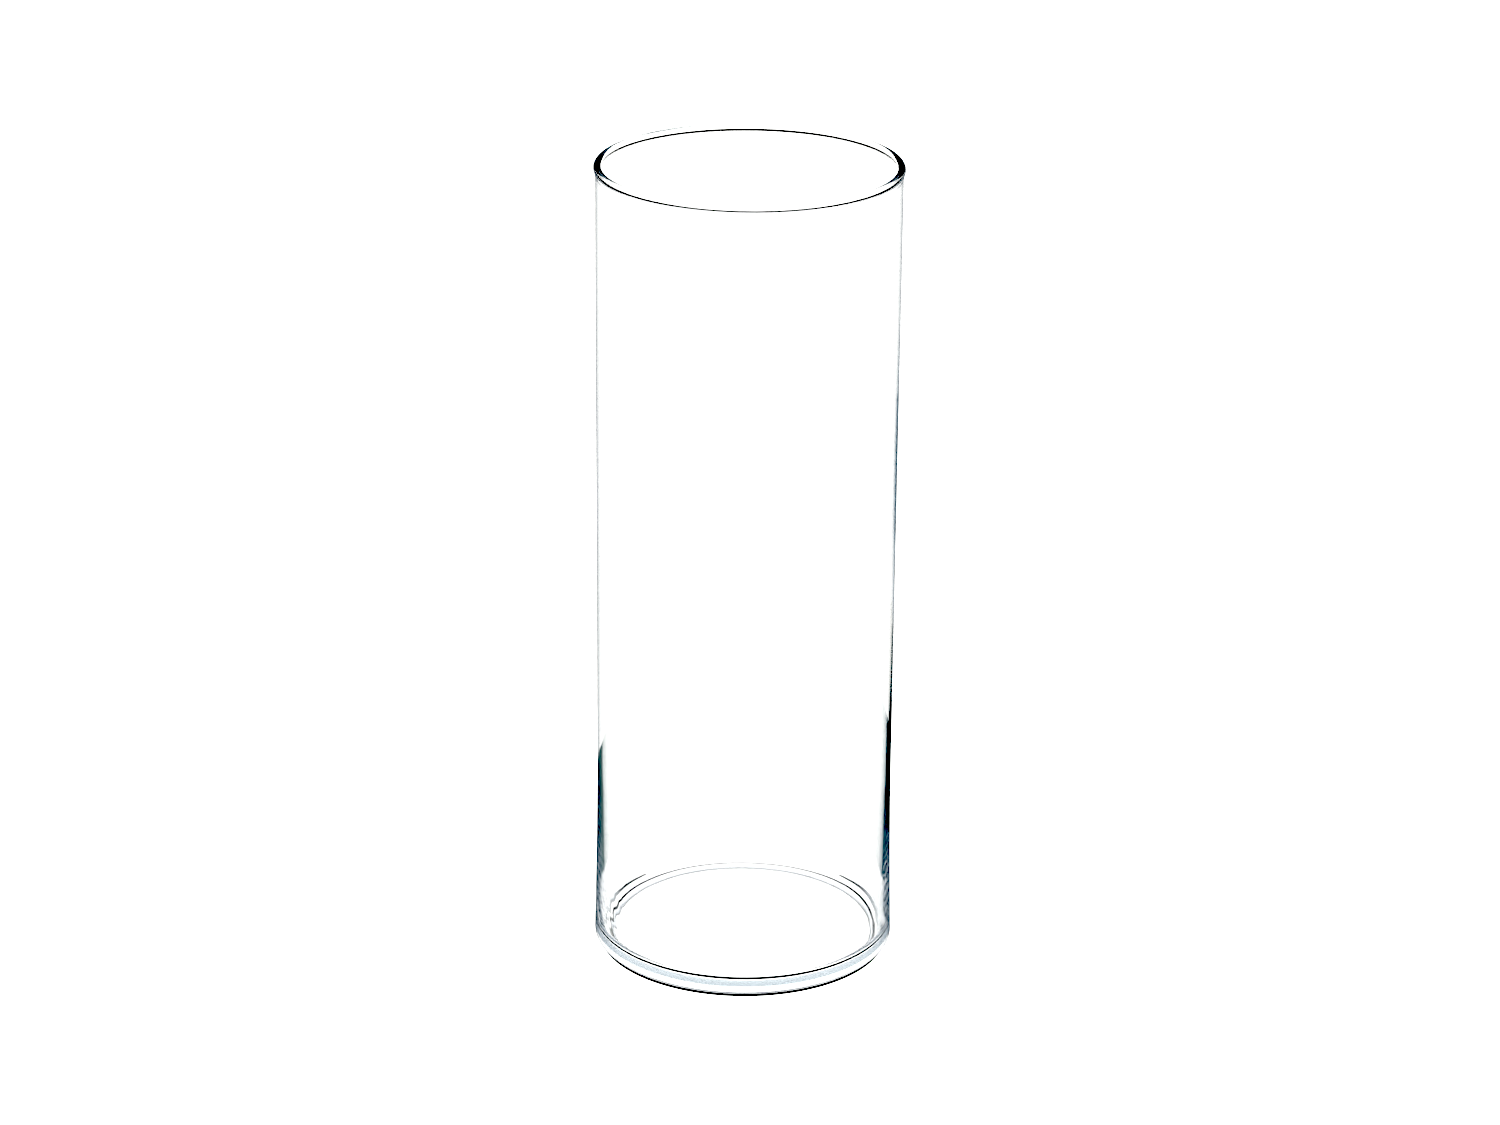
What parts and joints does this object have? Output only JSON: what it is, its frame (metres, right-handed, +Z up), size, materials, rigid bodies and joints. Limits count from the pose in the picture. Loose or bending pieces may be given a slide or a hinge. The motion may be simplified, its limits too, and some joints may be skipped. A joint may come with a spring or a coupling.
{
  "type": "glass cylinder vase",
  "caption": "Tall clear glass cylinder vase, open at the top, with a thin straight wall, a round fire-polished bead at the rim and a heavy flat base with a rounded heel.",
  "frame": {"origin": "centre of the underside, on the surface that the vase stands on", "axes": "+Z up along the vase's axis, towards the open mouth; X and Y are any two directions square to it, because the vase is round"},
  "size_m": [0.1506, 0.1506, 0.406],
  "materials": {
    "clear_glass": "clear soda-lime glass, blown, with a fire-polished rim"
  },
  "bodies": {
    "root": {"rim_bead": "clear_glass", "cylinder_wall": "clear_glass", "base": "clear_glass"}
  },
  "joints": []
}
